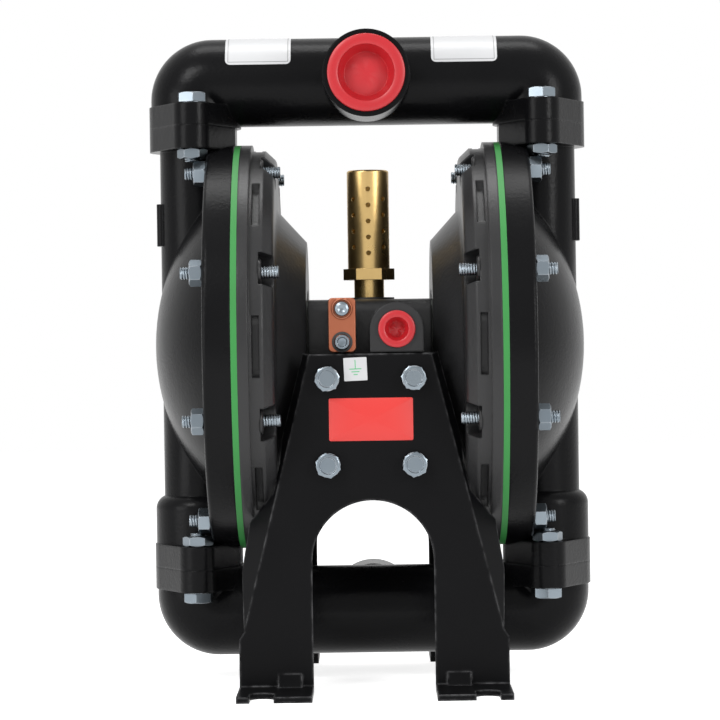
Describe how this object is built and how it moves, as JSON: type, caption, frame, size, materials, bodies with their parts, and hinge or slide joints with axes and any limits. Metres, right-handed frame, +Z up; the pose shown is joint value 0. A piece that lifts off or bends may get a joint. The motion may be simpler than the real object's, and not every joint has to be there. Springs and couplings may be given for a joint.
{
  "type": "air operated diaphragm pump",
  "caption": "Double diaphragm pump with domed fluid caps, upper and lower manifolds, pressed steel feet, air motor and ball valves.",
  "frame": {"origin": "on the floor, under the middle of the pump", "axes": "+X across the pump to the right seen from the front, +Y from front to back, +Z up"},
  "size_m": [0.2184, 0.228, 0.3211],
  "materials": {
    "black_casting": "semi-gloss black painted aluminium casting with slight orange peel",
    "black_sheet": "semi-gloss black painted pressed steel",
    "green_rubber": "green moulded diaphragm, matt",
    "zinc": "bright zinc plated steel with a bluish passivation",
    "steel": "ground steel",
    "brass": "machined brass, slightly tarnished",
    "bronze": "sintered bronze",
    "copper": "plain copper",
    "red_plastic": "red moulded polyethylene",
    "white_plastic": "white fluoropolymer",
    "black_rubber": "black nitrile rubber",
    "gasket": "grey-green gasket sheet",
    "bare_aluminium": "machined aluminium"
  },
  "bodies": {
    "root": {"air_cap_gasket_left": "gasket", "air_cap_gasket_right": "gasket", "air_cap_left": "black_casting", "air_cap_right": "black_casting", "air_cap_screws_left": "zinc", "air_cap_screws_right": "zinc", "center_body": "black_casting", "diaphragm_left": "green_rubber", "diaphragm_right": "green_rubber", "flange_nuts_left": "zinc", "flange_nuts_right": "zinc", "flange_studs_left": "zinc", "flange_studs_right": "zinc", "fluid_cap_left": "black_casting", "fluid_cap_right": "black_casting", "front_bracket": "black_sheet", "front_bracket_bolts": "zinc", "ground_lug": "copper", "inlet_bolts": "zinc", "inlet_manifold": "black_casting", "inlet_nuts": "zinc", "inlet_seat_left": "white_plastic", "inlet_seat_right": "white_plastic", "lug_screws": "zinc", "muffler": "brass", "outlet_bolts": "zinc", "outlet_manifold": "black_casting", "outlet_nuts": "zinc", "outlet_seat_left": "white_plastic", "outlet_seat_right": "white_plastic", "pilot_sleeve": "brass", "rear_bracket": "black_sheet", "rear_bracket_bolts": "zinc", "rod_bushes": "bronze", "rod_seals": "black_rubber", "seat_rings": "black_rubber", "valve_block": "black_casting", "valve_block_screws": "zinc", "valve_end_cap": "black_casting", "valve_gasket": "gasket", "valve_plate": "bare_aluminium"},
    "rod": {"connecting_rod": "steel", "inner_plate_left": "steel", "inner_plate_right": "steel", "outer_plate_left": "steel", "outer_plate_right": "steel", "diaphragm_screw_left": "zinc", "diaphragm_screw_right": "zinc"},
    "pilot": {"pilot_rod": "steel"},
    "spool": {"valve_spool": "bare_aluminium", "valve_slide": "white_plastic"},
    "inlet_ball_left": {"inlet_ball_left": "white_plastic"},
    "inlet_ball_right": {"inlet_ball_right": "white_plastic"},
    "outlet_ball_left": {"outlet_ball_left": "white_plastic"},
    "outlet_ball_right": {"outlet_ball_right": "white_plastic"},
    "outlet_plug": {"outlet_plug": "red_plastic"},
    "inlet_plug": {"inlet_plug": "red_plastic"},
    "air_inlet_plug": {"air_inlet_plug": "red_plastic"}
  },
  "joints": [
    {"name": "diaphragm_stroke", "type": "slide", "parent": "root", "child": "rod", "axis": [1, 0, 0], "range_m": [-0.008, 0.008], "deforming": ["diaphragm_left", "diaphragm_right"]},
    {"name": "pilot_shift", "type": "slide", "parent": "root", "child": "pilot", "axis": [1, 0, 0], "range_m": [-0.004, 0.004]},
    {"name": "spool_shift", "type": "slide", "parent": "root", "child": "spool", "axis": [1, 0, 0], "range_m": [-0.004, 0.004]},
    {"name": "inlet_ball_left_lift", "type": "slide", "parent": "root", "child": "inlet_ball_left", "axis": [0, 0, 1], "range_m": [0, 0.0065]},
    {"name": "inlet_ball_right_lift", "type": "slide", "parent": "root", "child": "inlet_ball_right", "axis": [0, 0, 1], "range_m": [0, 0.0065]},
    {"name": "outlet_ball_left_lift", "type": "slide", "parent": "root", "child": "outlet_ball_left", "axis": [0, 0, 1], "range_m": [0, 0.0065]},
    {"name": "outlet_ball_right_lift", "type": "slide", "parent": "root", "child": "outlet_ball_right", "axis": [0, 0, 1], "range_m": [0, 0.0065]},
    {"name": "outlet_plug_pull", "type": "slide", "parent": "root", "child": "outlet_plug", "axis": [0, -1, 0], "range_m": [0, 0.055]},
    {"name": "inlet_plug_pull", "type": "slide", "parent": "root", "child": "inlet_plug", "axis": [0, 1, 0], "range_m": [0, 0.055]},
    {"name": "air_inlet_plug_pull", "type": "slide", "parent": "root", "child": "air_inlet_plug", "axis": [0, -1, 0], "range_m": [0, 0.032]}
  ],
  "couplings": [
    {"joint": "pilot_shift", "follows": "diaphragm_stroke", "ratio": 0.5}
  ]
}
